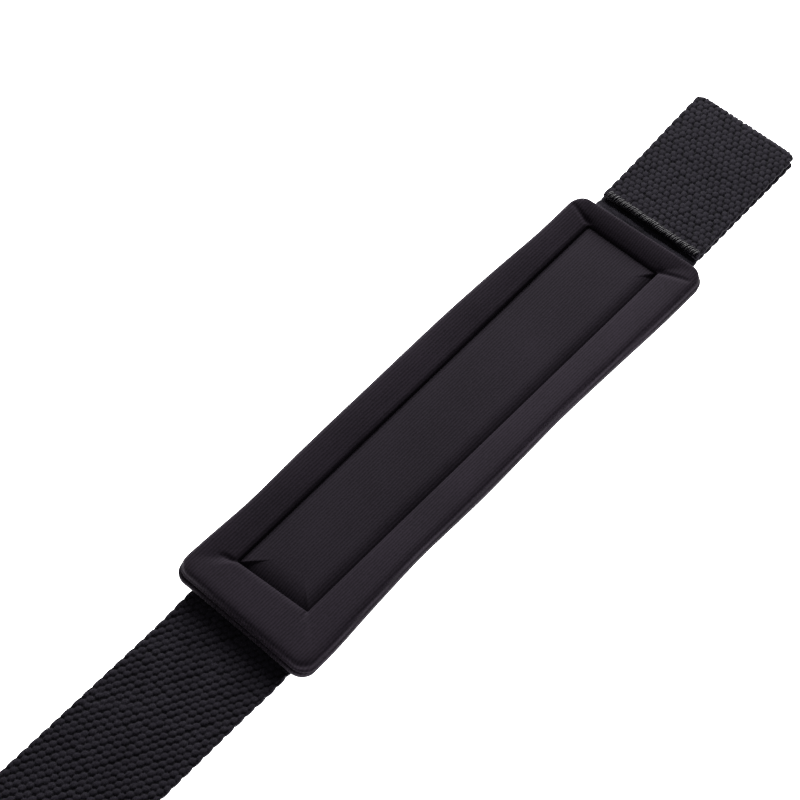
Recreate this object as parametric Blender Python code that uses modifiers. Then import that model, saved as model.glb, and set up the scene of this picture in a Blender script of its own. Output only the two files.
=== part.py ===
"""Weightlifting strap, one of a pair, lying flat with the wrist side of its pad up.

Metres, +Z up. X runs along the strap towards its sewn loop and Y across it, and the origin
lies on the floor under the middle of the pad. From the floor up the pieces are: a woven label
sewn to the webbing's outer face, one strip of cotton webbing that is the tail, the run under
the pad and the folded loop, a neoprene pad sheet, and the padded border on its wrist side.
"""

import math

import bmesh
import bpy
import numpy as np

# Clearance between two pieces that are sewn together or rest on each other
CLEARANCE = 0.0003

# Webbing: one strip, folded back on itself at the loop
WEB_WIDTH = 0.0380
WEB_THICKNESS = 0.0020
WEB_EDGE_ROUNDING = 0.0005
TAIL_LENGTH = 0.0950
LOOP_LENGTH = 0.0590
CUT_SETBACK = 0.0065
SEWN_GAP = 0.0004
FOLD_GAP = 0.0012
RAMP_LENGTH = 0.0120
WEB_OFFSET = -0.0013
LOOP_TURN = math.radians(1.9)

# Pad: the neoprene sheet and the padded border on it
PAD_LENGTH = 0.1830
PAD_WIDTH = 0.0500
PAD_CORNER_RADIUS = 0.0065
SHEET_THICKNESS = 0.0024
SHEET_LIP = 0.0003
SHEET_EDGE_ROUNDING = 0.0008
PANEL_CROWN = 0.0004
PANEL_CORNER_RADIUS = 0.0010
PANEL_OFFSET = 0.0009
BORDER_HEIGHT = 0.0029
BORDER_SIDE_WIDTH = 0.0112
BORDER_TAIL_WIDTH = 0.0140
BORDER_LOOP_WIDTH = 0.0088

# Label on the webbing's outer face
LABEL_LENGTH = 0.0940
LABEL_WIDTH = 0.0270
LABEL_THICKNESS = 0.0005
LABEL_OFFSET = 0.0080
LABEL_EDGE_ROUNDING = 0.0001

# How the pad's long edges wander: place along the pad (-1 tail end, 1 loop end),
# then how far the left and the right edge stand out, as shares of the pad's width
EDGE_WANDER_SHARES = (
    (-1.00, 0.005, 0.025),
    (-0.88, 0.000, 0.026),
    (-0.68, -0.012, 0.000),
    (-0.45, 0.004, -0.021),
    (-0.15, 0.013, -0.010),
    (0.25, 0.024, -0.027),
    (0.50, 0.018, -0.016),
    (0.76, 0.000, -0.001),
    (1.00, 0.006, 0.000),
)

# The border's section: share of its width out from the inner seam, share of its height
BORDER_SECTION_SHARES = (
    (0.00, 0.14),
    (0.10, 0.36),
    (0.30, 0.62),
    (0.58, 0.86),
    (0.82, 0.99),
    (0.89, 1.00),
    (0.96, 0.86),
    (1.00, 0.55),
    (0.99, 0.18),
    (0.94, 0.00),
    (0.50, 0.00),
    (0.03, 0.00),
)

# The panel inside the border: share of its half width from the middle, share of its crown
PANEL_ROW_SHARES = (
    (0.20, 1.00),
    (0.55, 0.92),
    (0.82, 0.62),
    (1.00, 0.00),
)

# Points on each straight side of the pad's outline and on each of its round corners
LONG_SIDE_POINTS = 18
END_SIDE_POINTS = 6
CORNER_POINTS = 7

# Steps of the webbing's path
TAIL_STEPS = 8
RAMP_STEPS = 6
PAD_RUN_STEPS = 14
LOOP_STEPS = 8
FOLD_STEPS = 8

HALF_PAD = PAD_LENGTH / 2
WEB_RISE = LABEL_THICKNESS + CLEARANCE
SHEET_BOTTOM = WEB_RISE + WEB_THICKNESS + CLEARANCE
SHEET_TOP = SHEET_BOTTOM + SHEET_THICKNESS
BORDER_BOTTOM = SHEET_TOP + CLEARANCE


def clear_scene():
    """Removes every object of the startup scene."""
    for obj in list(bpy.data.objects):
        bpy.data.objects.remove(obj, do_unlink=True)


def ease(share):
    """Smooth step from 0 to 1 with level ends: half of one minus a cosine."""
    return (1 - np.cos(math.pi * np.clip(share, 0, 1))) / 2


def web_height(x):
    """Height of the webbing's lower layer above the floor: the label lifts it under the pad."""
    beyond = np.abs(x) - HALF_PAD
    return WEB_RISE * (1 - ease(beyond / RAMP_LENGTH))


def web_middle(x):
    """Sideways place of the webbing's middle: straight tail, an even bend under the pad, a turned loop."""
    slope = math.tan(LOOP_TURN)
    along = np.clip(x + HALF_PAD, 0, PAD_LENGTH)
    bend = slope * along**2 / (2 * PAD_LENGTH)
    return WEB_OFFSET + bend + slope * np.maximum(x - HALF_PAD, 0)


def web_path():
    """Points (x, z) down the middle of the webbing's thickness, from the tail to the cut end."""
    half = WEB_THICKNESS / 2
    fold_radius = half + FOLD_GAP / 2
    fold_x = HALF_PAD + LOOP_LENGTH - fold_radius - half
    ramp_start = HALF_PAD + RAMP_LENGTH
    cut_x = HALF_PAD + CUT_SETBACK
    lower_x = np.concatenate(
        [
            np.linspace(-HALF_PAD - TAIL_LENGTH, -ramp_start, TAIL_STEPS, endpoint=False),
            np.linspace(-ramp_start, -HALF_PAD, RAMP_STEPS, endpoint=False),
            np.linspace(-HALF_PAD, HALF_PAD, PAD_RUN_STEPS, endpoint=False),
            np.linspace(HALF_PAD, ramp_start, RAMP_STEPS, endpoint=False),
            np.linspace(ramp_start, fold_x, LOOP_STEPS),
        ]
    )
    lower = np.stack([lower_x, web_height(lower_x) + half], axis=1)
    angle = np.linspace(-math.pi / 2, math.pi / 2, FOLD_STEPS + 1)[1:]
    fold_x_points = fold_x + fold_radius * np.cos(angle)
    fold_z_points = half + fold_radius * (1 + np.sin(angle))
    fold = np.stack([fold_x_points, fold_z_points], axis=1)
    upper_x = np.linspace(fold_x, cut_x, LOOP_STEPS + RAMP_STEPS)[1:]
    gap = SEWN_GAP + (FOLD_GAP - SEWN_GAP) * ease((upper_x - cut_x) / (fold_x - cut_x))
    upper = np.stack([upper_x, web_height(upper_x) + half + WEB_THICKNESS + gap], axis=1)
    return np.concatenate([lower, fold, upper])


def pad_outline(tail_x, loop_x, half_width, radius, wander_scale):
    """Points (x, y) round a rectangle with round corners, anticlockwise from the loop's right corner.

    Each straight side and each corner arc has a fixed count, so that two outlines made
    here match point for point. The long sides then stand out by the wander table.
    """
    quarter = np.linspace(0, math.pi / 2, CORNER_POINTS)
    corners = (
        (loop_x - radius, radius - half_width, -math.pi / 2, LONG_SIDE_POINTS, END_SIDE_POINTS),
        (loop_x - radius, half_width - radius, 0, END_SIDE_POINTS, LONG_SIDE_POINTS),
        (tail_x + radius, half_width - radius, math.pi / 2, LONG_SIDE_POINTS, END_SIDE_POINTS),
        (tail_x + radius, radius - half_width, math.pi, END_SIDE_POINTS, LONG_SIDE_POINTS),
    )
    arcs = []
    counts = []
    for centre_x, centre_y, start, _, side_points in corners:
        turn = quarter + start
        arcs.append(np.stack([centre_x + radius * np.cos(turn), centre_y + radius * np.sin(turn)], axis=1))
        counts.append(side_points)
    pieces = []
    for index, arc in enumerate(arcs):
        following = arcs[(index + 1) % len(arcs)]
        steps = np.linspace(0, 1, counts[index] + 2)[1:-1, None]
        pieces.append(arc)
        pieces.append(arc[-1] + (following[0] - arc[-1]) * steps)
    outline = np.concatenate(pieces)
    place, left, right = np.array(EDGE_WANDER_SHARES).T
    along = outline[:, 0] / HALF_PAD
    side = np.clip(outline[:, 1] / half_width, -1, 1)
    stand_left = np.interp(along, place, left) * np.maximum(side, 0)
    stand_right = np.interp(along, place, right) * np.minimum(side, 0)
    outline[:, 1] += wander_scale * PAD_WIDTH * (stand_left + stand_right)
    return outline


def outer_outline(lip):
    """The pad's outer edge, standing out by a lip."""
    return pad_outline(-HALF_PAD - lip, HALF_PAD + lip, PAD_WIDTH / 2 + lip, PAD_CORNER_RADIUS + lip, 1.0)


def panel_outline():
    """The seam where the border ends and the sunk panel begins, a little off the pad's middle."""
    seam = pad_outline(
        BORDER_TAIL_WIDTH - HALF_PAD,
        HALF_PAD - BORDER_LOOP_WIDTH,
        PAD_WIDTH / 2 - BORDER_SIDE_WIDTH,
        PANEL_CORNER_RADIUS,
        0.0,
    )
    seam[:, 1] += PANEL_OFFSET
    return seam


def level(outline, height):
    """An outline (x, y) set at one height."""
    return np.column_stack([outline, np.full(len(outline), height)])


def loft(rings, closed):
    """A body from rings of matching points: bands between rings, then caps unless the section is closed."""
    count = len(rings[0])
    rounds = len(rings) if closed else len(rings) - 1
    faces = []
    for row in range(rounds):
        here = row * count
        there = (row + 1) % len(rings) * count
        for station in range(count):
            after = (station + 1) % count
            faces.append((here + station, there + station, there + after, here + after))
    if not closed:
        last = (len(rings) - 1) * count
        faces.append(tuple(range(count)))
        faces.append(tuple(range(last + count - 1, last - 1, -1)))
    return np.concatenate(rings), faces


def add_object(name, points, faces, collection, material):
    """Makes one mesh object, its faces turned out."""
    mesh = bpy.data.meshes.new(name)
    mesh.from_pydata([tuple(map(float, point)) for point in points], [], faces)
    shell = bmesh.new()
    shell.from_mesh(mesh)
    bmesh.ops.recalc_face_normals(shell, faces=shell.faces)
    shell.to_mesh(mesh)
    shell.free()
    mesh.materials.append(material)
    obj = bpy.data.objects.new(name, mesh)
    collection.objects.link(obj)
    return obj


def soften(obj, width, segments, least_angle):
    """Rounds the object's sharp edges."""
    bevel = obj.modifiers.new("rounded edges", "BEVEL")
    bevel.width = width
    bevel.segments = segments
    bevel.limit_method = "ANGLE"
    bevel.angle_limit = least_angle


def cloth(name, colour, roughness):
    """A plain material with a cloth's sheen."""
    material = bpy.data.materials.new(name)
    material.use_nodes = True
    shader = material.node_tree.nodes["Principled BSDF"]
    shader.inputs["Base Color"].default_value = (*colour, 1)
    shader.inputs["Roughness"].default_value = roughness
    shader.inputs["Metallic"].default_value = 0
    shader.inputs["Sheen Weight"].default_value = 0.2
    return material


def make_webbing(collection):
    """The strip: a ribbon along the path, thickened evenly on both sides."""
    path = web_path()
    middle = web_middle(path[:, 0])
    half = WEB_WIDTH / 2
    right = np.column_stack([path[:, 0], middle - half, path[:, 1]])
    left = np.column_stack([path[:, 0], middle + half, path[:, 1]])
    count = len(path)
    faces = [(step, step + 1, count + step + 1, count + step) for step in range(count - 1)]
    material = cloth("cotton webbing", (0.016, 0.015, 0.018), 0.85)
    obj = add_object("webbing", np.concatenate([right, left]), faces, collection, material)
    wall = obj.modifiers.new("webbing thickness", "SOLIDIFY")
    wall.thickness = WEB_THICKNESS
    wall.offset = 0
    wall.use_even_offset = True
    soften(obj, WEB_EDGE_ROUNDING, 2, math.radians(60))
    return obj


def make_pad_sheet(collection):
    """The sheet under the border, whose middle shows as the sunk, slightly crowned panel."""
    seam = panel_outline()
    centre_x = (BORDER_TAIL_WIDTH - BORDER_LOOP_WIDTH) / 2
    half_panel = PAD_WIDTH / 2 - BORDER_SIDE_WIDTH
    core = seam.copy()
    spine = (PAD_LENGTH - BORDER_TAIL_WIDTH - BORDER_LOOP_WIDTH) / 2 - half_panel
    core[:, 0] = np.clip(seam[:, 0] - centre_x, -spine, spine) + centre_x
    core[:, 1] = PANEL_OFFSET
    rings = []
    for out, crown in PANEL_ROW_SHARES:
        rings.append(level(core + (seam - core) * out, SHEET_TOP + PANEL_CROWN * crown))
    inset = outer_outline(SHEET_LIP - SHEET_EDGE_ROUNDING)
    edge = outer_outline(SHEET_LIP)
    rings.append(level(inset, SHEET_TOP))
    rings.append(level(edge, SHEET_TOP - SHEET_EDGE_ROUNDING))
    rings.append(level(edge, SHEET_BOTTOM + SHEET_EDGE_ROUNDING))
    rings.append(level(inset, SHEET_BOTTOM))
    points, faces = loft(rings, closed=False)
    material = cloth("neoprene sheet", (0.024, 0.020, 0.026), 0.8)
    return add_object("pad_sheet", points, faces, collection, material)


def make_pad_border(collection):
    """The padded frame round the panel: one section carried round, from the seam out to the edge."""
    seam = panel_outline()
    edge = outer_outline(0)
    rings = []
    for out, up in BORDER_SECTION_SHARES:
        rings.append(level(seam + (edge - seam) * out, BORDER_BOTTOM + BORDER_HEIGHT * up))
    points, faces = loft(rings, closed=True)
    material = cloth("neoprene border", (0.030, 0.025, 0.033), 0.8)
    return add_object("pad_border", points, faces, collection, material)


def make_label(collection):
    """The woven label, blank, flat on the floor under the webbing and square to it."""
    bpy.ops.mesh.primitive_cube_add(size=1)
    obj = bpy.context.object
    obj.name = "label"
    obj.data.name = "label"
    for vertex in obj.data.vertices:
        vertex.co.x = LABEL_OFFSET + vertex.co.x * LABEL_LENGTH
        vertex.co.y = vertex.co.y * LABEL_WIDTH + float(web_middle(vertex.co.x))
        vertex.co.z = (vertex.co.z + 0.5) * LABEL_THICKNESS
    obj.data.materials.append(cloth("woven label", (0.012, 0.012, 0.014), 0.7))
    for owner in list(obj.users_collection):
        owner.objects.unlink(obj)
    collection.objects.link(obj)
    soften(obj, LABEL_EDGE_ROUNDING, 1, math.radians(60))
    return obj


def main():
    clear_scene()
    strap = bpy.data.collections.new("weightlifting_strap")
    bpy.context.scene.collection.children.link(strap)
    for make in (make_webbing, make_pad_sheet, make_pad_border, make_label):
        obj = make(strap)
        obj.data.shade_smooth()
        obj.data.set_sharp_from_angle(angle=math.radians(40))
        print(obj.name, "made with", len(obj.data.vertices), "points before its modifiers")


main()
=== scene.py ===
# %% [markdown]
# # A weightlifting strap with its wrist pad up
#
# One flat strap lies on a pale floor. It is a strip of coarse cotton webbing with a padded
# neoprene wrist pad sewn on it, a folded and sewn loop at one end, and a plain tail at the other.
# The solids of the part come first, as a frame to dress. Each soft piece is then built over its
# solid as a surface worked out with numpy, in metres, in the frame's own axes: X runs along the
# strap to its loop, Y across it, and Z up.

# %% The frame and the tools
import math

import bmesh
import bpy
import numpy as np
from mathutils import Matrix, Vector


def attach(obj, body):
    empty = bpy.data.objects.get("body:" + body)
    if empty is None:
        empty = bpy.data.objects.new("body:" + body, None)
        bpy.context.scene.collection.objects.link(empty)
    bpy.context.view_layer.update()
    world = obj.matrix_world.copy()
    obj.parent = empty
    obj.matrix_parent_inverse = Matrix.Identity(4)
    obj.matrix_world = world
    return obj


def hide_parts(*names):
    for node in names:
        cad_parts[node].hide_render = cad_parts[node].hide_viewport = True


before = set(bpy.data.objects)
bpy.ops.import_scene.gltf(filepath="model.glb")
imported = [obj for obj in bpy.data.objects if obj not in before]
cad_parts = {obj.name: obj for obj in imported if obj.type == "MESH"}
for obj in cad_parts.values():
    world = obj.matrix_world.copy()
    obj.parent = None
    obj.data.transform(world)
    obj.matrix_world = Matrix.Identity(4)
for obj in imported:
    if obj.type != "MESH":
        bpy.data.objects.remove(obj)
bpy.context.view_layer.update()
scene = bpy.context.scene
rng = np.random.default_rng(7)
MM = 0.001
print("The frame's nodes are", sorted(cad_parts))

# %% [markdown]
# ## Camera
#
# A product photo like this one is taken from well above with a longish lens. The camera's place
# and lens were fitted to the outlines of the strap, on a sensor 36 mm wide. It has no roll, no
# shift and no depth of field, so that the other views can move it freely.

# %% Camera
CAMERA_PLACE = Vector((-0.26482, -0.21902, 0.55751))
CAMERA_AIM = Vector((-0.00318, 0.01830, 0.0))
CAMERA_LENS = 97.5

camera_data = bpy.data.cameras.new("camera")
camera_data.lens = CAMERA_LENS
camera_data.sensor_width = 36
camera_data.clip_start = 0.01
camera = bpy.data.objects.new("camera", camera_data)
camera.location = CAMERA_PLACE
camera.rotation_euler = (CAMERA_AIM - CAMERA_PLACE).to_track_quat("-Z", "Y").to_euler()
scene.collection.objects.link(camera)
scene.camera = camera
print("The camera stands", round((CAMERA_AIM - CAMERA_PLACE).length, 3), "m away")

# %% [markdown]
# ## Colours and nodes
#
# Colours are easiest to read as the hex values of a paint program, which are sRGB, while a shader
# works in linear light. One function turns the first into the second, and one adds any node.

# %% Helpers for colours and nodes
def linear(code):
    """An sRGB hex colour as linear light: divided by 12.92 near black, else raised to 2.4."""
    share = np.array([int(code[i : i + 2], 16) / 255 for i in (1, 3, 5)])
    light = np.where(share <= 0.04045, share / 12.92, ((share + 0.055) / 1.055) ** 2.4)
    return (*light.tolist(), 1.0)


def add_node(material, kind, settings=None, links=None):
    """Adds one node, gives it its settings and socket values, and links sources to its sockets."""
    node = material.node_tree.nodes.new(kind)
    for name, value in (settings or {}).items():
        if isinstance(name, int) or name in node.inputs:
            node.inputs[name].default_value = value
        else:
            setattr(node, name, value)
    for name, source in (links or {}).items():
        material.node_tree.links.new(source, node.inputs[name])
    return node


def new_material(name, settings):
    """A material with its Principled shader set to the given constants."""
    material = bpy.data.materials.new(name)
    material.use_nodes = True
    shader = material.node_tree.nodes["Principled BSDF"]
    for socket, value in settings.items():
        shader.inputs[socket].default_value = value
    return material, shader


# %% [markdown]
# ## Surfaces from grids
#
# Most pieces here are closed skins over a grid: a ring of points that is carried along the piece.
# The helpers below join such rings with four-sided faces, turn the skin outwards and make the
# object. A skin's signed volume tells whether it is inside out.

# %% Helpers for meshes
def ring_quads(rings, count, closed_along=False):
    """Quads between neighbouring rings of count points each, each ring closed on itself."""
    rows = np.arange(rings if closed_along else rings - 1)[:, None]
    columns = np.arange(count)[None, :]
    after = (columns + 1) % count
    upper = (rows + 1) % rings
    corners = [rows * count + columns, upper * count + columns, upper * count + after, rows * count + after]
    return np.stack(corners, axis=-1).reshape(-1, 4)


def signed_volume(points, quads):
    """The sum over both triangles of each quad of the box product of their corners, over six."""
    a, b, c, d = (points[quads[:, i]] for i in range(4))
    first = np.einsum("ij,ij->i", a, np.cross(b, c))
    second = np.einsum("ij,ij->i", a, np.cross(c, d))
    return float((first + second).sum() / 6)


def add_piece(name, points, quads, material, caps=(), merge=False):
    """Makes a smooth mesh object from points, quads and capping polygons, turned outwards."""
    points = np.asarray(points, float).reshape(-1, 3)
    inside_out = signed_volume(points, quads) < 0
    faces = [list(map(int, face)) for face in caps]
    faces = quads.tolist() + faces
    if inside_out:
        faces = [face[::-1] for face in faces]
    mesh = bpy.data.meshes.new(name)
    mesh.from_pydata(points.tolist(), [], faces)
    if merge:
        shell = bmesh.new()
        shell.from_mesh(mesh)
        bmesh.ops.remove_doubles(shell, verts=shell.verts, dist=1e-7)
        bmesh.ops.recalc_face_normals(shell, faces=shell.faces)
        shell.to_mesh(mesh)
        shell.free()
    mesh.materials.append(material)
    mesh.shade_smooth()
    obj = bpy.data.objects.new(name, mesh)
    scene.collection.objects.link(obj)
    print(name, "has", len(mesh.polygons), "faces")
    return obj


def ripple(x, y, waves, longest, seed):
    """A gentle unevenness from -1 to 1: a mean of sine waves with seeded directions and phases."""
    draw = np.random.default_rng(seed)
    total = 0.0
    for _ in range(waves):
        angle = draw.uniform(0, math.pi)
        length = longest * draw.uniform(0.35, 1.0)
        phase = draw.uniform(0, 2 * math.pi)
        total = total + np.sin(2 * math.pi * (x * math.cos(angle) + y * math.sin(angle)) / length + phase)
    return total / waves


def ease(share):
    """Smooth step from 0 to 1 with level ends: half of one minus a cosine."""
    return (1 - np.cos(math.pi * np.clip(share, 0, 1))) / 2


def hump(distance, width):
    """One at no distance, falling off as a bell over the width."""
    return np.exp(-((distance / width) ** 2))


# %% [markdown]
# ## Black cotton webbing
#
# The webbing is black cotton, spun and plied into thick yarns. Cotton has no gloss, and its loose
# fibres catch light at a low angle. A value kept at each point of the mesh says how high it lies on
# its yarn, and the colour follows it: the gaps between the yarns and between the edge's scallops are
# painted darker than the tops, as painted shade in the hollows. Fine noise stands for the fibres,
# which are thinner than the render shows.

# %% Material of the webbing
# The gap colour is painted shade for the hollows between the yarns.
WEB_GAP_SHADE_COLOUR = "#0e0d10"
WEB_YARN_COLOUR = "#221f27"
WEB_LINT_COLOUR = "#46434c"
FIBRE_SIZE = 0.30 * MM

webbing_cloth, shader = new_material(
    "black cotton webbing",
    {"Roughness": 0.85, "Specular IOR Level": 0.10, "Sheen Weight": 0.03, "Sheen Roughness": 0.4},
)
place = add_node(webbing_cloth, "ShaderNodeTexCoord")
relief = add_node(webbing_cloth, "ShaderNodeAttribute", {"attribute_name": "yarn_height"})
fibres = add_node(
    webbing_cloth,
    "ShaderNodeTexNoise",
    {"Scale": 1 / FIBRE_SIZE, "Detail": 3.0, "Roughness": 0.6},
    {"Vector": place.outputs["Object"]},
)
patches = add_node(
    webbing_cloth,
    "ShaderNodeTexNoise",
    {"Scale": 1 / (9 * MM), "Detail": 2.0},
    {"Vector": place.outputs["Object"]},
)
# Painted shade: the ramp runs from the dark gap colour low in the hollows to the yarn colour on the tops.
gap_shade_ramp = add_node(webbing_cloth, "ShaderNodeValToRGB", links={"Fac": relief.outputs["Fac"]})
gap_shade_ramp.color_ramp.elements[0].color = linear(WEB_GAP_SHADE_COLOUR)
gap_shade_ramp.color_ramp.elements[1].color = linear(WEB_YARN_COLOUR)
gap_shade_ramp.color_ramp.elements[1].position = 0.75
lint = add_node(
    webbing_cloth,
    "ShaderNodeMapRange",
    {"From Min": 0.45, "From Max": 0.72, "To Min": 0.0, "To Max": 1.0},
    {"Value": fibres.outputs["Fac"]},
)
patchy = add_node(
    webbing_cloth,
    "ShaderNodeMath",
    {"operation": "MULTIPLY"},
    {0: lint.outputs["Result"], 1: patches.outputs["Fac"]},
)
# Lighter lint in patches, laid over the painted shade of the gaps.
lint_over_gap_shade = add_node(
    webbing_cloth,
    "ShaderNodeMix",
    {"data_type": "RGBA", 7: linear(WEB_LINT_COLOUR)},
    {0: patchy.outputs["Value"], 6: gap_shade_ramp.outputs["Color"]},
)
rough_fibres = add_node(
    webbing_cloth,
    "ShaderNodeBump",
    {"Strength": 0.5, "Distance": 0.12 * MM},
    {"Height": fibres.outputs["Fac"]},
)
webbing_cloth.node_tree.links.new(lint_over_gap_shade.outputs[2], shader.inputs["Base Color"])
webbing_cloth.node_tree.links.new(rough_fibres.outputs["Normal"], shader.inputs["Normal"])
print("Webbing material made")

# %% [markdown]
# ## Neoprene with a jersey face
#
# The pad is neoprene foam with a fine nylon jersey bonded to it: matt, nearly black with a
# touch of violet, and with a soft sheen where it turns away. The knit's columns are about 0.45 mm
# apart. They are drawn at 0.9 mm, faintly, so that they show at all at this distance, and noise
# gives the mottled grain of a brushed face.

# %% Material of the pad
KNIT_PITCH = 0.9 * MM


def jersey(name, dark, light, sheen):
    """Jersey-faced neoprene between two near-black shades: mottling mixed with knit columns."""
    material, shader = new_material(
        name,
        {"Roughness": 0.8, "Specular IOR Level": 0.08, "Sheen Weight": sheen, "Sheen Roughness": 0.3},
    )
    place = add_node(material, "ShaderNodeTexCoord")
    mottle = add_node(
        material,
        "ShaderNodeTexNoise",
        {"Scale": 1 / (0.7 * MM), "Detail": 4.0, "Roughness": 0.65},
        {"Vector": place.outputs["Object"]},
    )
    clouds = add_node(
        material,
        "ShaderNodeTexNoise",
        {"Scale": 1 / (22 * MM), "Detail": 2.0},
        {"Vector": place.outputs["Object"]},
    )
    wales = add_node(
        material,
        "ShaderNodeTexWave",
        {"bands_direction": "Y", "Scale": 1 / (KNIT_PITCH * 20 / (2 * math.pi)), "Distortion": 1.2},
        {"Vector": place.outputs["Object"]},
    )
    grain = add_node(
        material,
        "ShaderNodeMix",
        {"data_type": "FLOAT", 0: 0.3},
        {2: mottle.outputs["Fac"], 3: wales.outputs["Fac"]},
    )
    shade = add_node(
        material,
        "ShaderNodeMix",
        {"data_type": "FLOAT", 0: 0.25},
        {2: grain.outputs[0], 3: clouds.outputs["Fac"]},
    )
    colour = add_node(
        material,
        "ShaderNodeMapRange",
        {"From Min": 0.36, "From Max": 0.64},
        {"Value": shade.outputs[0]},
    )
    mixed = add_node(
        material,
        "ShaderNodeMix",
        {"data_type": "RGBA", 6: linear(dark), 7: linear(light)},
        {0: colour.outputs["Result"]},
    )
    bump = add_node(
        material,
        "ShaderNodeBump",
        {"Strength": 0.6, "Distance": 0.10 * MM},
        {"Height": grain.outputs[0]},
    )
    material.node_tree.links.new(mixed.outputs[2], shader.inputs["Base Color"])
    material.node_tree.links.new(bump.outputs["Normal"], shader.inputs["Normal"])
    return material


panel_cloth = jersey("jersey-faced neoprene sheet", "#1f1a21", "#2f2932", 0.05)
border_cloth = jersey("jersey-faced neoprene border", "#201b22", "#312a34", 0.06)
print("Neoprene materials made")

# %% [markdown]
# ## Thread and label
#
# The sewing is black polyester thread, smoother than cotton, so it takes small highlights. The
# label is woven from fine black polyester in satin, which has a low shine and ribs about 0.3 mm
# apart across its length.

# %% Materials of the thread and the label
LABEL_RIB = 0.3 * MM

thread_polyester, shader = new_material(
    "black polyester thread",
    {"Base Color": linear("#2b282e"), "Roughness": 0.5, "Specular IOR Level": 0.5, "Sheen Weight": 0.1},
)
place = add_node(thread_polyester, "ShaderNodeTexCoord")
twist = add_node(
    thread_polyester,
    "ShaderNodeTexNoise",
    {"Scale": 1 / (0.25 * MM), "Detail": 2.0},
    {"Vector": place.outputs["Object"]},
)
strands = add_node(
    thread_polyester,
    "ShaderNodeBump",
    {"Strength": 0.4, "Distance": 0.05 * MM},
    {"Height": twist.outputs["Fac"]},
)
thread_polyester.node_tree.links.new(strands.outputs["Normal"], shader.inputs["Normal"])

label_satin, shader = new_material(
    "black woven satin label",
    {"Roughness": 0.55, "Specular IOR Level": 0.45, "Sheen Weight": 0.1},
)
place = add_node(label_satin, "ShaderNodeTexCoord")
ribs = add_node(
    label_satin,
    "ShaderNodeTexWave",
    {"bands_direction": "X", "Scale": 1 / (LABEL_RIB * 20 / (2 * math.pi)), "Distortion": 0.6},
    {"Vector": place.outputs["Object"]},
)
shade = add_node(
    label_satin,
    "ShaderNodeMix",
    {"data_type": "RGBA", 6: linear("#121114"), 7: linear("#1d1c20")},
    {0: ribs.outputs["Fac"]},
)
rib_bump = add_node(
    label_satin,
    "ShaderNodeBump",
    {"Strength": 0.4, "Distance": 0.04 * MM},
    {"Height": ribs.outputs["Fac"]},
)
label_satin.node_tree.links.new(shade.outputs[2], shader.inputs["Base Color"])
label_satin.node_tree.links.new(rib_bump.outputs["Normal"], shader.inputs["Normal"])
print("Thread and label materials made")

# %% [markdown]
# ## The line that the webbing follows
#
# One strip makes the tail, the run under the pad and the loop. It lies on the floor, rises by the
# label's thickness under the pad, folds back over a small half circle and ends in a cut that is
# sewn down just past the pad. It also bends a little sideways under the pad. The line is worked
# out once, as points down the middle of the strip's thickness, and every piece of webbing uses it.

# %% Sizes of the webbing and its line
WEB_WIDTH = 38.0 * MM
WEB_THICKNESS = 2.0 * MM
HALF_PAD = 91.5 * MM
TAIL_LENGTH = 95.0 * MM
LOOP_LENGTH = 60.3 * MM
CUT_SETBACK = 5.7 * MM
SEWN_GAP = 0.15 * MM
FOLD_GAP = 1.2 * MM
RAMP_LENGTH = 12.0 * MM
WEB_RISE = 0.8 * MM
WEB_OFFSET = -1.3 * MM
LOOP_TURN = math.radians(1.9)


def web_height(x):
    """Height of the lower layer above the floor: level under the pad, eased down to the floor."""
    return WEB_RISE * (1 - ease((np.abs(x) - HALF_PAD) / RAMP_LENGTH))


def web_middle(x):
    """Sideways place of the strip: straight tail, an even bend under the pad, a turned loop."""
    slope = math.tan(LOOP_TURN)
    along = np.clip(x + HALF_PAD, 0, 2 * HALF_PAD)
    return WEB_OFFSET + slope * along**2 / (4 * HALF_PAD) + slope * np.maximum(x - HALF_PAD, 0)


def web_line():
    """Points (x, z) of the strip's middle: lower run, half circle, upper run back to the cut."""
    half = WEB_THICKNESS / 2
    radius = half + FOLD_GAP / 2
    fold_x = HALF_PAD + LOOP_LENGTH - radius - half
    cut_x = HALF_PAD + CUT_SETBACK
    lower_x = np.linspace(-HALF_PAD - TAIL_LENGTH, fold_x, 1200)
    lower = np.stack([lower_x, web_height(lower_x) + half], axis=1)
    angle = np.linspace(-math.pi / 2, math.pi / 2, 40)[1:]
    fold = np.stack([fold_x + radius * np.cos(angle), half + radius * (1 + np.sin(angle))], axis=1)
    upper_x = np.linspace(fold_x, cut_x, 300)[1:]
    gap = SEWN_GAP + (FOLD_GAP - SEWN_GAP) * ease((upper_x - cut_x) / (fold_x - cut_x))
    upper = np.stack([upper_x, web_height(upper_x) + half + WEB_THICKNESS + gap], axis=1)
    return np.concatenate([lower, fold, upper])


line = web_line()
line_step = np.linalg.norm(np.diff(line, axis=0), axis=1)
line_length = np.concatenate([[0], np.cumsum(line_step)])
line_slope = np.gradient(line, line_length, axis=0)
START_X = -HALF_PAD - TAIL_LENGTH
print("The strip is", round(line_length[-1] * 1000, 1), "mm long")

# %% [markdown]
# ## The weave
#
# Seen close, the webbing is rows of round yarn knuckles. Each row lies half a step aside from the
# last, as in plain weave, where a yarn that is up in one row is down in the next. Rows are
# 2.04 mm apart, and the knuckles of a row 2.17 mm. At this scale the knuckles are real shape, so
# they are worked into the mesh as small domes, squarish and slightly slanted, each with its own
# slight shift and size.

# %% Height of the yarn knuckles
ROW_PITCH = 2.04 * MM
KNUCKLE_PITCH = WEB_WIDTH / 17.5
KNUCKLE_HALF_LENGTH = 1.20 * MM
KNUCKLE_HALF_WIDTH = 1.06 * MM
KNUCKLE_DEPTH = 0.50 * MM
KNUCKLE_SQUARENESS = 2.3
KNUCKLE_ROUNDNESS = 0.45
KNUCKLE_SLANT = 0.18
JITTER = 0.11 * MM
SIZES_ALONG = 97
SIZES_ACROSS = 53

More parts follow.
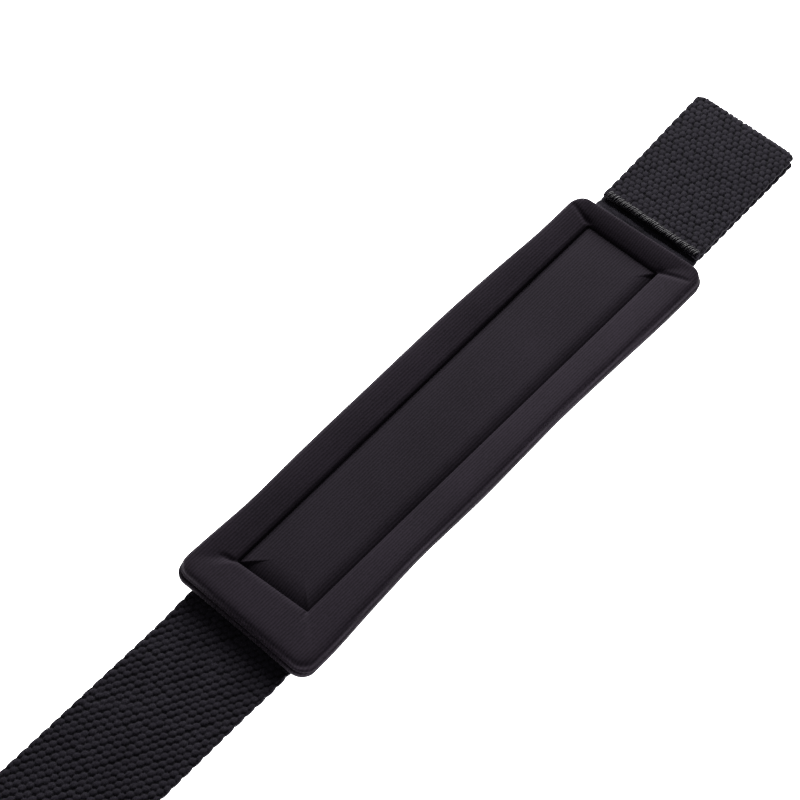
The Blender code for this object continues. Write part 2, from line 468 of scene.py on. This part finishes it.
knuckle_shift = rng.normal(0, 1, (2, SIZES_ALONG, SIZES_ACROSS, 2)) * JITTER
knuckle_size = rng.uniform(0.86, 1.0, (2, SIZES_ALONG, SIZES_ACROSS))


def knuckles(along, across, turned):
    """Height from 0 to 1: the highest of two sets of domes, a root of one minus the distance's power."""
    along = along + 0.20 * MM * np.sin(across / (4.1 * MM) + along / (31 * MM))
    across = across + 0.10 * MM * np.sin(along / (7.3 * MM))
    highest = np.zeros(np.broadcast(along, across).shape)
    for which, half in enumerate((0.0, 0.5)):
        row = np.round(along / (2 * ROW_PITCH) - half)
        shift = half + turned
        column = np.round(across / KNUCKLE_PITCH - shift)
        pick = (which, row.astype(int) % SIZES_ALONG, column.astype(int) % SIZES_ACROSS)
        aside = knuckle_shift[pick]
        off_row = along - (row + half) * 2 * ROW_PITCH - aside[..., 0]
        off_column = across - (column + shift) * KNUCKLE_PITCH - aside[..., 1]
        off_column = off_column + KNUCKLE_SLANT * off_row
        row_part = np.abs(off_row / KNUCKLE_HALF_LENGTH) ** KNUCKLE_SQUARENESS
        column_part = np.abs(off_column / KNUCKLE_HALF_WIDTH) ** KNUCKLE_SQUARENESS
        dome = knuckle_size[pick] * np.clip(1 - row_part - column_part, 0, 1) ** KNUCKLE_ROUNDNESS
        highest = np.maximum(highest, dome)
    return highest


# %% [markdown]
# ## Strips of webbing
#
# A strip is a flat, round-edged section carried along the line. Each point of the section is then
# pushed in by what the weave takes away there: between the knuckles on the two faces, and between
# the scallops of the woven edge, which span two rows each. Sewing presses the cloth in too, so a
# strip is also given the furrows that its seams make. One long strip would be heavy, so it is cut
# into three pieces that share the same points where they meet, out of sight under the pad or flush
# below it.

# %% The section and its furrows
EDGE_ROUNDING = 0.8 * MM
EDGE_POINTS = 9
SCALLOP_DEPTH = 0.40 * MM
SEAM_SIDE = 14.3 * MM
SEAM_TAIL_X = -76.0 * MM
SEAM_LOOP_X = 82.0 * MM
CUT_X = HALF_PAD + CUT_SETBACK
SPREAD_ALL = 1.02
SPREAD_BY_PAD = 0.018
SPREAD_AT_FOLD = 0.028
FOLD_CORNER = 2.4 * MM
FOLD_END = float(line[:, 0].max())


def spread(x):
    """How much wider than its nominal width the strip lies: more beside the pad and at the fold."""
    beside_pad = SPREAD_BY_PAD * hump(x + 96 * MM, 9 * MM)
    at_fold = SPREAD_AT_FOLD * ease((x - 105 * MM) / (45 * MM))
    return SPREAD_ALL + beside_pad + at_fold


def corner_inset(x):
    """How far the edges draw in at the fold: a quarter circle, the radius less the root of the rest."""
    share = np.clip((x + FOLD_CORNER - FOLD_END) / FOLD_CORNER, 0, 1)
    return FOLD_CORNER * (1 - np.sqrt(1 - share**2))


def web_section(upper_points, lower_points):
    """Points (across, up) round the section with their outward directions: two faces, two round edges."""
    flat = WEB_WIDTH / 2 - EDGE_ROUNDING
    half = WEB_THICKNESS / 2
    upper = np.linspace(-flat, flat, upper_points)
    lower = np.linspace(flat, -flat, lower_points)
    turn = np.linspace(0, math.pi, EDGE_POINTS + 2)[1:-1]
    bulge = EDGE_ROUNDING * np.sin(turn)
    fall = half * np.cos(turn)
    across = np.concatenate([upper, flat + bulge, lower, -flat - bulge])
    up = np.concatenate([np.full(upper_points, half), fall, np.full(lower_points, -half), -fall])
    out_side = np.concatenate([0 * upper, np.sin(turn), 0 * lower, -np.sin(turn)])
    out_up = np.concatenate([0 * upper + 1, np.cos(turn), 0 * lower - 1, -np.cos(turn)])
    return across, up, out_side, out_up


def furrows(x, across, is_upper_run):
    """Depth of the seams' furrows on the outer face: bells about the sewn rectangle and the cut."""
    inside = ease((x - SEAM_TAIL_X + 1 * MM) / (2 * MM)) * ease((SEAM_LOOP_X + 1 * MM - x) / (2 * MM))
    sides = hump(np.abs(across) - SEAM_SIDE, 1.0 * MM) * inside
    between = ease((SEAM_SIDE + 1 * MM - np.abs(across)) / (2 * MM))
    ends = (hump(x - SEAM_TAIL_X, 1.0 * MM) + hump(x - SEAM_LOOP_X, 1.0 * MM)) * between
    lower = np.maximum(sides, ends) + hump(x - CUT_X - 2 * MM, 1.6 * MM)
    upper = 0.9 * ease((CUT_X + 5.0 * MM - x) / (2.5 * MM))
    return 0.38 * MM * np.where(is_upper_run, upper, lower)


def web_strip(name, start, end, step, upper_points, lower_points):
    """A strip from start to end along the line: the section set on it, pushed in by weave and seams."""
    count = int(round((end - start) / step)) + 1
    along = np.linspace(start, end, count)[:, None]
    middle_x = np.interp(along, line_length, line[:, 0])
    middle_z = np.interp(along, line_length, line[:, 1])
    slope_x = np.interp(along, line_length, line_slope[:, 0])
    slope_z = np.interp(along, line_length, line_slope[:, 1])
    across, up, out_side, out_up = (a[None, :] for a in web_section(upper_points, lower_points))
    on_edge = np.abs(out_side) ** 1.5
    top = knuckles(along + 0 * across, across, 0.0)
    under = knuckles(along + 0 * across, across, 0.5)
    face = np.where(out_up >= 0, top, under)
    scallop = np.abs(np.cos(math.pi * along / (2 * ROW_PITCH) + np.sign(across) * 0.8)) ** 0.7
    weave = (1 - on_edge) * KNUCKLE_DEPTH * (1 - face) + on_edge * SCALLOP_DEPTH * (1 - scallop)
    pressed = furrows(middle_x, across, slope_x < 0) * np.clip(-out_up, 0, 1)
    push = weave + pressed
    outer_x = middle_x + slope_z * WEB_THICKNESS / 2
    drawn_in = 1 - corner_inset(outer_x) / (WEB_WIDTH / 2)
    side = across * spread(middle_x) * drawn_in - push * out_side
    rise = up - push * out_up
    x = middle_x - slope_z * rise
    y = web_middle(middle_x) + side
    z = middle_z + slope_x * rise
    points = np.stack(np.broadcast_arrays(x, y, z), axis=-1)
    ring = across.shape[1]
    quads = ring_quads(count, ring)
    caps = [range(ring), range(count * ring - 1, (count - 1) * ring - 1, -1)]
    obj = add_piece(name, points, quads, webbing_cloth, caps)
    height = (1 - on_edge) * face + on_edge * scallop
    kept = obj.data.attributes.new("yarn_height", "FLOAT", "POINT")
    kept.data.foreach_set("value", np.broadcast_to(height, (count, ring)).astype(np.float32).ravel())
    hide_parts("webbing")
    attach(obj, "root")
    return obj


# %% The three strips
JOIN_X = 88.0 * MM
TAIL_JOIN = -JOIN_X - START_X
LOOP_JOIN = float(np.interp(JOIN_X, line[:1200, 0], line_length[:1200]))
FINE_ACROSS = 150
UNDER_ACROSS = 112

webbing_tail = web_strip("webbing_tail", 0.0, TAIL_JOIN, 0.285 * MM, FINE_ACROSS, UNDER_ACROSS)
webbing_pad_run = web_strip("webbing_pad_run", TAIL_JOIN, LOOP_JOIN, 0.28 * MM, 8, UNDER_ACROSS)
webbing_loop = web_strip("webbing_loop", LOOP_JOIN, line_length[-1], 0.25 * MM, 16, FINE_ACROSS)
print("The loop's strip is", round((line_length[-1] - LOOP_JOIN) * 1000, 1), "mm long")

# %% [markdown]
# ## Outlines of the pad
#
# The pad is a long rectangle with round corners, and its long edges wander a little, as a sewn
# and turned foam edge does. Inside it a straight seam frames the sunk panel. Both outlines are
# given the same stations, so that a surface can be stretched from the one to the other.

# %% Two matching outlines
PAD_HALF_WIDTH = 25.0 * MM
PAD_CORNER = 4.8 * MM
END_SKEW = 1.8 * MM
END_SETBACK = 0.5 * MM
SKEW_START = -20 * MM
SKEW_SPAN = 44 * MM
SEAM_TAIL_WIDTH = 14.0 * MM
SEAM_LOOP_WIDTH = 8.8 * MM
SEAM_SIDE_WIDTH = 11.2 * MM
PANEL_OFFSET = 0.9 * MM
PANEL_CORNER = 1.0 * MM
LONG_STATIONS = 300
END_STATIONS = 76
CORNER_STATIONS = 16

# Place along the pad from -1 to 1, then how far its left and right edges stand out, as shares
# of its width
EDGE_WANDER = (
    (-1.00, 0.005, 0.025),
    (-0.88, 0.000, 0.026),
    (-0.68, -0.012, 0.000),
    (-0.45, 0.004, -0.021),
    (-0.15, 0.013, -0.010),
    (0.25, 0.024, -0.027),
    (0.50, 0.018, -0.016),
    (0.76, 0.000, -0.001),
    (1.00, 0.006, 0.000),
)


def round_rectangle(tail_x, loop_x, right_y, left_y, radius):
    """Points (x, y) anticlockwise from the loop's right corner: quarter circles joined by even sides."""
    quarter = np.linspace(0, math.pi / 2, CORNER_STATIONS, endpoint=False)
    centres = (
        (loop_x - radius, right_y + radius, -0.5, END_STATIONS),
        (loop_x - radius, left_y - radius, 0.0, LONG_STATIONS),
        (tail_x + radius, left_y - radius, 0.5, END_STATIONS),
        (tail_x + radius, right_y + radius, 1.0, LONG_STATIONS),
    )
    parts = []
    for index, (x, y, start, side) in enumerate(centres):
        turn = quarter + start * math.pi
        parts.append(np.stack([x + radius * np.cos(turn), y + radius * np.sin(turn)], axis=1))
        stop = (start + 0.5) * math.pi
        last = np.array([x + radius * math.cos(stop), y + radius * math.sin(stop)])
        after = centres[(index + 1) % 4]
        begin = after[2] * math.pi
        first = np.array([after[0] + radius * math.cos(begin), after[1] + radius * math.sin(begin)])
        share = np.linspace(0, 1, side, endpoint=False)[:, None]
        parts.append(last + (first - last) * share)
    return np.concatenate(parts)


def pad_edge(lip, tail_lip=0.0):
    """The pad's outer outline, standing out by a lip, its long sides moved by a smooth table."""
    half = HALF_PAD + lip
    side = PAD_HALF_WIDTH + lip
    outline = round_rectangle(-half - tail_lip, half, -side, side, PAD_CORNER + lip)
    place, left, right = np.array(EDGE_WANDER).T
    fine = np.linspace(-1, 1, 241)
    window = np.hanning(31) / np.hanning(31).sum()
    wide = [np.pad(np.interp(fine, place, edge), 15, "edge") for edge in (left, right)]
    smooth = [np.convolve(values, window, "valid") for values in wide]
    share = outline[:, 0] / HALF_PAD
    over = np.clip(outline[:, 1] / PAD_HALF_WIDTH, -1, 1)
    stand_left = np.interp(share, fine, smooth[0]) * np.maximum(over, 0)
    stand_right = np.interp(share, fine, smooth[1]) * np.minimum(over, 0)
    outline[:, 1] += 2 * PAD_HALF_WIDTH * (stand_left + stand_right)
    leftward = np.clip((outline[:, 1] - SKEW_START) / SKEW_SPAN, 0, 1)
    near_loop = ease((outline[:, 0] - 40 * MM) / (45 * MM))
    outline[:, 0] -= (END_SETBACK + END_SKEW * leftward) * near_loop
    return outline


# How far each corner of the seam lies from a true rectangle, in mm
SEAM_CORNER_SHIFTS = {
    "tail right": (0.5, 0.1),
    "tail left": (-1.3, -1.3),
    "loop right": (0.2, 0.2),
    "loop left": (0.3, 0.9),
}


def shift_corners(outline):
    """The seam as sewn: a true rectangle whose corners are shifted, blended evenly in between."""
    low, high = outline.min(axis=0), outline.max(axis=0)
    along = ((outline[:, 0] - low[0]) / (high[0] - low[0]))[:, None]
    over = ((outline[:, 1] - low[1]) / (high[1] - low[1]))[:, None]
    shift = {corner: np.array(moved) * MM for corner, moved in SEAM_CORNER_SHIFTS.items()}
    at_tail = shift["tail right"] * (1 - over) + shift["tail left"] * over
    at_loop = shift["loop right"] * (1 - over) + shift["loop left"] * over
    return outline + at_tail * (1 - along) + at_loop * along


seam_half = PAD_HALF_WIDTH - SEAM_SIDE_WIDTH
true_seam = round_rectangle(
    SEAM_TAIL_WIDTH - HALF_PAD,
    HALF_PAD - SEAM_LOOP_WIDTH,
    PANEL_OFFSET - seam_half,
    PANEL_OFFSET + seam_half,
    PANEL_CORNER,
)
seam_outline = shift_corners(true_seam)
stations = len(seam_outline)
print("Each outline has", stations, "stations")

# %% [markdown]
# ## The padded border
#
# The border is a strip of foam turned over and sewn down along the panel's seam, so it rises from
# the seam to a soft crest near the pad's edge and rolls over it. Its section changes round the
# pad: a wide puffy roll at the tail, which leans over the seam, gentle slopes along the sides, and
# at the loop a slope up to a high crest close to the edge. Each section is a handful of points,
# smoothed by a spline and blended at the corners. Creases run out from the inner corners, where
# one strip ends on the next.

# %% Sections of the border
BORDER_BOTTOM = 5.55 * MM
BORDER_TOP = 8.7 * MM

# Share of the way out from the seam to the pad's edge, and share of the height
LEFT_SECTION = (
    (0.06, 0.00),
    (0.00, 0.04),
    (0.00, 0.14),
    (0.03, 0.26),
    (0.12, 0.42),
    (0.30, 0.62),
    (0.54, 0.83),
    (0.74, 0.96),
    (0.86, 1.00),
    (0.915, 0.93),
    (0.965, 0.76),
    (1.00, 0.45),
    (0.98, 0.03),
    (0.50, 0.00),
)
RIGHT_SECTION = (
    (0.06, 0.00),
    (0.00, 0.04),
    (-0.01, 0.20),
    (0.02, 0.40),
    (0.10, 0.57),
    (0.28, 0.74),
    (0.50, 0.89),
    (0.67, 0.97),
    (0.78, 1.00),
    (0.89, 0.94),
    (0.96, 0.76),
    (0.995, 0.42),
    (1.00, 0.02),
    (0.50, 0.00),
)
TAIL_SECTION = (
    (0.06, 0.00),
    (0.01, 0.09),
    (-0.02, 0.34),
    (0.00, 0.56),
    (0.06, 0.70),
    (0.18, 0.80),
    (0.38, 0.89),
    (0.60, 0.96),
    (0.79, 1.00),
    (0.92, 0.93),
    (0.985, 0.70),
    (1.00, 0.34),
    (1.00, 0.02),
    (0.50, 0.00),
)
LOOP_SECTION = (
    (0.06, 0.00),
    (0.00, 0.05),
    (0.00, 0.14),
    (0.03, 0.24),
    (0.12, 0.42),
    (0.30, 0.68),
    (0.50, 0.88),
    (0.68, 1.02),
    (0.83, 1.11),
    (0.92, 1.12),
    (0.985, 0.99),
    (1.00, 0.50),
    (0.98, 0.03),
    (0.50, 0.00),
)
SECTION_STEPS = 4


def closed_spline(knots, steps):
    """A closed Catmull-Rom curve: a cubic through each knot, its slope half its neighbours' gap."""
    before, here, after, next_one = (np.roll(knots, shift, axis=0) for shift in (1, 0, -1, -2))
    t = (np.arange(steps) / steps)[None, :, None]
    a, b, c, d = (k[:, None] for k in (before, here, after, next_one))
    square = (2 * a - 5 * b + 4 * c - d) * t**2
    cube = (3 * b - a - 3 * c + d) * t**3
    curve = 0.5 * (2 * b + (c - a) * t + square + cube)
    return curve.reshape(-1, knots.shape[1])


def side_weights():
    """For each station, its shares of the loop, left, tail and right sections: blended round corners."""
    order = []
    blend = ease(np.arange(CORNER_STATIONS) / CORNER_STATIONS)
    unit = np.eye(4)
    for side, count in ((0, END_STATIONS), (1, LONG_STATIONS), (2, END_STATIONS), (3, LONG_STATIONS)):
        previous = unit[(side - 1) % 4]
        order.append(previous + (unit[side] - previous) * blend[:, None])
        order.append(np.tile(unit[side], (count, 1)))
    return np.concatenate(order)


weights = side_weights()
tables = (LOOP_SECTION, LEFT_SECTION, TAIL_SECTION, RIGHT_SECTION)
sections = np.array([closed_spline(np.array(table), SECTION_STEPS) for table in tables])
section = np.einsum("ks,srp->rkp", weights, sections)
print("The border has", section.shape[0], "rings of", section.shape[1], "stations")

# %% The border's surface
# Creases: start and end in the plane, width, depth
CREASES = (
    ((83.0, 15.6), (84.6, 23.0), 0.8, 0.80),
    ((83.0, -12.7), (85.3, -22.0), 0.8, 0.80),
    ((-78.8, 13.4), (-80.0, 17.6), 0.7, 0.80),
    ((-77.0, -12.8), (-79.6, -13.6), 0.6, 0.40),
)

# How far the seam pulls the panel down at the loop, left, tail and right, and over which share
# of the way to its middle
SEAM_PULLS = np.array([0.10, 0.20, 2.10, 1.70]) * MM
SEAM_DIPS = np.array([0.30, 0.30, 0.60, 0.42])
PULL_SHARPNESS = 2.4
seam_pull = weights @ SEAM_PULLS
seam_dip = weights @ SEAM_DIPS


def crease_depth(x, y, creases):
    """How far creases sink a surface: a bell about each line, fading from its start to its end."""
    sunk = np.zeros(x.shape)
    for start, end, width, depth in creases:
        a = np.array(start) * MM
        run = np.array(end) * MM - a
        length = np.linalg.norm(run)
        along = ((x - a[0]) * run[0] + (y - a[1]) * run[1]) / length**2
        share = np.clip(along, 0, 1)
        away = np.hypot(x - a[0] - share * run[0], y - a[1] - share * run[1])
        sunk = np.maximum(sunk, depth * MM * (1 - 0.55 * share) * hump(away, width * MM))
    return sunk


outer = pad_edge(0.0)
out, up = section[..., 0], section[..., 1]
border_x = seam_outline[:, 0] + (outer[:, 0] - seam_outline[:, 0]) * out
border_y = seam_outline[:, 1] + (outer[:, 1] - seam_outline[:, 1]) * out
swell = ripple(border_x, border_y, 7, 60 * MM, 11)
border_z = BORDER_BOTTOM + (BORDER_TOP - BORDER_BOTTOM) * up
lifted = ease((up - 0.1) / 0.5) * ease(out / 0.3)
border_z += lifted * (0.16 * MM * swell - 0.12 * MM)
border_z -= crease_depth(border_x, border_y, CREASES) * ease((up - 0.15) / 0.4)
foot = np.clip(1 - np.abs(out) / 0.2, 0, 1) * (1 - ease(up / 0.45))
border_z -= foot * seam_pull
border_points = np.stack([border_x, border_y, border_z], axis=-1)
pad_border = add_piece(
    "pad_border_padding",
    border_points,
    ring_quads(section.shape[0], stations, closed_along=True),
    border_cloth,
)
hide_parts("pad_border")
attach(pad_border, "root")
print("The border's crest is at", round(float(border_z.max()) * 1000, 2), "mm")

# %% [markdown]
# ## The pad's sheet
#
# The sheet of neoprene under the border shows in three places: as the sunk panel, which is
# slightly crowned and pulled down along its seam, as a rounded second edge just below the
# border's, and as the pad's underside beside the webbing. One skin of rings makes all three, from
# the panel's middle out, round the edge and back to the middle below.

# %% The sheet's surface
SHEET_BOTTOM = 2.9 * MM
SHEET_TOP = 5.5 * MM
SHEET_LIP = 0.05 * MM
SHEET_TAIL_LIP = 1.2 * MM
PANEL_CROWN = 0.25 * MM
CORNER_TIP = 0.5 * MM
EDGE_FULLNESS = 0.55
EDGE_FLATNESS = 0.7


def spine(middle_y):
    """The outline's inner line: each station's nearest point on a straight line down the panel."""
    middle_x = (SEAM_TAIL_WIDTH - SEAM_LOOP_WIDTH) / 2
    reach = HALF_PAD - (SEAM_TAIL_WIDTH + SEAM_LOOP_WIDTH) / 2 - seam_half
    x = np.clip(true_seam[:, 0] - middle_x, -reach, reach) + middle_x
    return np.stack([x, np.full(stations, middle_y)], axis=1)


core = spine(PANEL_OFFSET)
panel_share = np.concatenate([np.linspace(0, 0.90, 22), np.linspace(0.92, 1.0, 6)])
panel_rings = core + (seam_outline - core) * panel_share[:, None, None]
panel_x, panel_y = panel_rings[..., 0], panel_rings[..., 1]
crown = PANEL_CROWN * (1 - panel_share[:, None] ** 2)
pull = seam_pull * np.clip((panel_share[:, None] - 1 + seam_dip) / seam_dip, 0, 1) ** PULL_SHARPNESS
panel_waves = 0.10 * MM * ripple(panel_x, panel_y, 8, 45 * MM, 5) * (1 - panel_share[:, None])
panel_z = SHEET_TOP + crown - pull + panel_waves

edge_turn = np.linspace(0.5, -0.5, 17) * math.pi
edge_radius = (SHEET_TOP - SHEET_BOTTOM) / 2
flat_edge = pad_edge(SHEET_LIP - edge_radius, SHEET_TAIL_LIP)
full_edge = pad_edge(SHEET_LIP, SHEET_TAIL_LIP)
square_cos = np.cos(edge_turn).clip(0) ** EDGE_FULLNESS
square_sin = np.sign(np.sin(edge_turn)) * np.abs(np.sin(edge_turn)) ** EDGE_FLATNESS
edge_rings = flat_edge + (full_edge - flat_edge) * square_cos[:, None, None]
edge_z = (SHEET_TOP + SHEET_BOTTOM) / 2 + edge_radius * square_sin[:, None] * np.ones(stations)
from_tip = np.hypot(edge_rings[..., 0] + HALF_PAD, edge_rings[..., 1] - PAD_HALF_WIDTH)
edge_rings += np.array([-0.7, 0.7]) * (CORNER_TIP * hump(from_tip, 7 * MM) * square_cos[:, None])[..., None]
under_share = np.linspace(1, 0, 12)[1:]
under_rings = core + (flat_edge - core) * under_share[:, None, None]
droop = 0.25 * MM * ease((np.abs(under_rings[..., 1]) - 19.5 * MM) / (4 * MM))
under_z = SHEET_BOTTOM - droop
sheet_rings = np.concatenate([panel_rings, edge_rings, under_rings])
sheet_z = np.concatenate([panel_z, edge_z, under_z])
sheet_points = np.dstack([sheet_rings, sheet_z[..., None]])
sheet_quads = ring_quads(len(sheet_z), stations)
pad_sheet = add_piece("pad_sheet_foam", sheet_points, sheet_quads, panel_cloth, merge=True)
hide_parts("pad_sheet")
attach(pad_sheet, "root")

# %% [markdown]
# ## Threads
#
# All sewing is short lengths of thread that come up out of the cloth and go down again. One
# function makes many at once: each is a thin tube from a start to an end, arched up in its middle
# by a parabola and bent aside by half a sine, and it tapers where it sinks in.

# %% Short threads in one mesh
def threads(name, starts, ends, up, lift, bend, thickness, stations_along=7, sides=6):
    """Tubes from starts to ends: a straight line plus a parabola upwards and half a sine sideways."""
    starts, ends = np.asarray(starts, float), np.asarray(ends, float)
    count = len(starts)
    up = np.broadcast_to(np.asarray(up, float), (count, 3))
    run = ends - starts
    side = np.cross(up, run)
    side /= np.linalg.norm(side, axis=1, keepdims=True)
    t = np.linspace(0, 1, stations_along)
    lift = np.broadcast_to(lift, count)[:, None, None]
    bend = np.broadcast_to(bend, count)[:, None, None]
    middle = starts[:, None] + run[:, None] * t[None, :, None]
    middle = middle + up[:, None] * lift * (4 * t * (1 - t))[None, :, None]
    middle = middle + side[:, None] * bend * np.sin(math.pi * t)[None, :, None]
    radius = thickness / 2 * np.sqrt(1 - 0.9 * (2 * t - 1) ** 4)
    turn = np.arange(sides) / sides * 2 * math.pi
    sideways = side[:, None, None] * np.cos(turn)[None, None, :, None]
    upwards = up[:, None, None] * np.sin(turn)[None, None, :, None]
    around = sideways + upwards
    points = middle[:, :, None] + around * radius[None, :, None, None]
    one = ring_quads(stations_along, sides)
    size = stations_along * sides
    quads = (one[None] + np.arange(count)[:, None, None] * size).reshape(-1, 4)
    first = np.arange(sides)[None] + np.arange(count)[:, None] * size
    last = first[:, ::-1] + size - sides
    obj = add_piece(name, points, quads, thread_polyester, np.concatenate([first, last]).tolist())
    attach(obj, "root")
    return obj


# %% [markdown]
# ## The sewn cut
#
# The loop's upper layer ends in a raw cut, and a dense row of slanted stitches, 0.64 mm apart and
# 2.6 mm long, locks it down on the layer below.

# %% The slanted stitches of the cut
LOCK_PITCH = 0.64 * MM
LOCK_REACH = 2.6 * MM
LOCK_SLANT = 0.9 * MM
LOCK_SINK = 0.42 * MM
LOCK_LIFT = 0.28 * MM
LOCK_BEND = 0.08 * MM
THREAD_THICKNESS = 0.42 * MM
cut_height = WEB_RISE * 0.5 + 2 * WEB_THICKNESS + SEWN_GAP
lock_y = np.arange(-17.8, 18.0, LOCK_PITCH * 1000) * MM
lock_y = lock_y + rng.normal(0, 0.10 * MM, len(lock_y)) + float(web_middle(np.array(CUT_X)))
lock_x = CUT_X + rng.uniform(-0.2, 0.3, len(lock_y)) * MM
lock_z = np.full(len(lock_y), cut_height - LOCK_SINK)
lock_start = np.stack([lock_x, lock_y + 0.5 * MM, lock_z], axis=1)
lock_end = lock_start + np.array([LOCK_REACH, -LOCK_SLANT, 0.05 * MM])
threads("cut_stitches", lock_start, lock_end, (0, 0, 1), LOCK_LIFT, LOCK_BEND, THREAD_THICKNESS)

# %% [markdown]
# ## The label
#
# The label lies between the webbing and the floor: a strip of satin with its ends folded under,
# sewn on all round close to its edges, which makes the edges slightly wavy. It is blank here.

# %% The label
LABEL_LENGTH = 94.0 * MM
LABEL_WIDTH = 27.0 * MM
LABEL_OFFSET = 8.0 * MM
LABEL_BOTTOM = 0.04 * MM
LABEL_TOP = 0.76 * MM
HEM = 1.5 * MM
LABEL_ROWS = 200
LABEL_COLUMNS = 60
LABEL_RING = 2 * LABEL_COLUMNS


def label_surface():
    """Two faces over a grid, the edges waved by sines and the faces pinched by a bell at the hem."""
    along = np.linspace(-0.5, 0.5, LABEL_ROWS)[:, None] * LABEL_LENGTH
    flat = np.linspace(-0.5, 0.5, LABEL_COLUMNS) * LABEL_WIDTH
    across = np.concatenate([flat, flat[::-1]])[None, :]
    upper = np.concatenate([np.ones(LABEL_COLUMNS), np.zeros(LABEL_COLUMNS)])[None, :]
    near_side = LABEL_WIDTH / 2 - np.abs(across)
    near_end = LABEL_LENGTH / 2 - np.abs(along)
    wave = 0.12 * MM * np.sin(along / (1.3 * MM)) * np.sign(across) * hump(near_side, 1.5 * MM)
    pinch = np.maximum(hump(near_side - HEM, 0.5 * MM), hump(near_end - HEM, 0.5 * MM))
    rounded = np.sqrt(np.clip(np.minimum(near_side, near_end) / (0.35 * MM), 0.02, 1))
    half = (LABEL_TOP - LABEL_BOTTOM) / 2 * rounded
    middle = (LABEL_TOP + LABEL_BOTTOM) / 2
    z = np.where(upper > 0.5, middle + half, middle - half + 0.2 * MM * pinch)
    x = LABEL_OFFSET + along + 0 * across
    y = web_middle(x) + across + wave
    return np.stack(np.broadcast_arrays(x, y, z), axis=-1)


label_points = label_surface()
label_count = LABEL_ROWS * LABEL_RING
label_caps = [range(LABEL_RING), range(label_count - 1, label_count - LABEL_RING - 1, -1)]
label_quads = ring_quads(LABEL_ROWS, LABEL_RING)
label = add_piece("label_satin", label_points, label_quads, label_satin, label_caps)
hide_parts("label")
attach(label, "root")

# %% [markdown]
# ## Floor and light
#
# A product like this is shot on white under a big soft lamp. The lamp stands above, behind and to
# the left of the strap, so the sides that slope towards the loop and the left edge are the
# lightest, and the tail is darker than the loop. The floor gives light of its own, as a light
# table does, and goes fully white.

# %% Floor
floor_mesh = bpy.data.meshes.new("floor")
FLOOR_REACH = 3.0
FLOOR_HEIGHT = -0.3 * MM
ways = ((-1, -1), (1, -1), (1, 1), (-1, 1))
floor_corners = [(x * FLOOR_REACH, y * FLOOR_REACH, FLOOR_HEIGHT) for x, y in ways]
floor_mesh.from_pydata(floor_corners, [], [(0, 1, 2, 3)])
floor_paper, shader = new_material(
    "matt white paper",
    {
        "Base Color": linear("#e8e8e8"),
        "Roughness": 0.95,
        "Specular IOR Level": 0.2,
        "Emission Color": (1, 1, 1, 1),
        "Emission Strength": 2.8,
    },
)
floor_mesh.materials.append(floor_paper)
floor = bpy.data.objects.new("floor", floor_mesh)
scene.collection.objects.link(floor)

# %% Lights
def soft_lamp(name, place, aim, size, power):
    """A square area lamp at a place, turned to an aim."""
    data = bpy.data.lights.new(name, "AREA")
    data.size = size
    data.energy = power
    lamp = bpy.data.objects.new(name, data)
    lamp.location = place
    lamp.rotation_euler = (Vector(aim) - Vector(place)).to_track_quat("-Z", "Y").to_euler()
    scene.collection.objects.link(lamp)
    return lamp


soft_lamp("key", (0.70, 0.55, 0.455), (0.0, 0.0, 0.0), 0.5, 17.0)
world = bpy.data.worlds.new("studio")
world.use_nodes = True
world.node_tree.nodes["Background"].inputs["Color"].default_value = (1, 1, 1, 1)
world.node_tree.nodes["Background"].inputs["Strength"].default_value = 0.12
scene.world = world
scene.view_settings.view_transform = "Standard"
print("Lights made")
